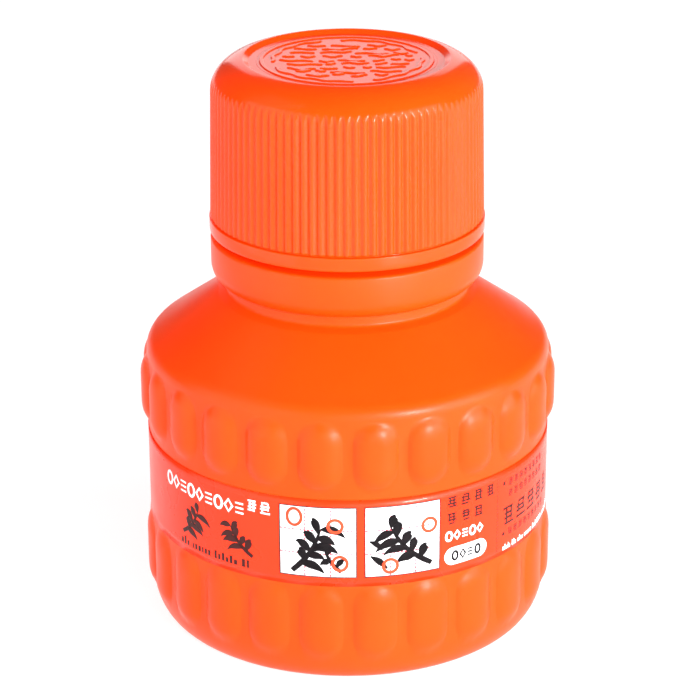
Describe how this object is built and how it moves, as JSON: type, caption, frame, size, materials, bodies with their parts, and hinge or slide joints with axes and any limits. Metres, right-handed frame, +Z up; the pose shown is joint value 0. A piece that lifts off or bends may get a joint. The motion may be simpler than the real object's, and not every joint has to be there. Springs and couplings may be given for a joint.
{
  "type": "ink bottle",
  "caption": "Squat round plastic ink bottle with raised lobes round the body, a wrap-around label, a collared neck and a ribbed screw cap.",
  "frame": {"origin": "centre of the flat ring that the bottle stands on", "axes": "+Z up along the axis of bottle and cap; the label's main panel faces -Y"},
  "size_m": [0.0504, 0.0504, 0.0699],
  "materials": {
    "bottle_plastic": "satin blown plastic",
    "cap_plastic": "glossy moulded plastic",
    "liner_foam": "matt foam",
    "insert_plastic": "soft waxy plastic",
    "label_film": "printed glossy film",
    "ink": "liquid"
  },
  "bodies": {
    "bottle": {"bottle": "bottle_plastic", "pour_insert": "insert_plastic", "label_film": "label_film", "ink_fill": "ink"},
    "liner": {"cap_liner": "liner_foam"},
    "cap": {"screw_cap": "cap_plastic"}
  },
  "joints": [
    {"name": "cap_rise", "type": "slide", "parent": "bottle", "child": "liner", "axis": [0, 0, 1], "range_m": [0, 0.022]},
    {"name": "cap_turn", "type": "hinge", "parent": "liner", "child": "cap", "pos_m": [0, 0, 0.049], "axis": [0, 0, 1], "range_deg": [0, 1870]}
  ],
  "couplings": [
    {"joint": "cap_rise", "follows": "cap_turn", "m_per_rad": 0.00067376}
  ]
}
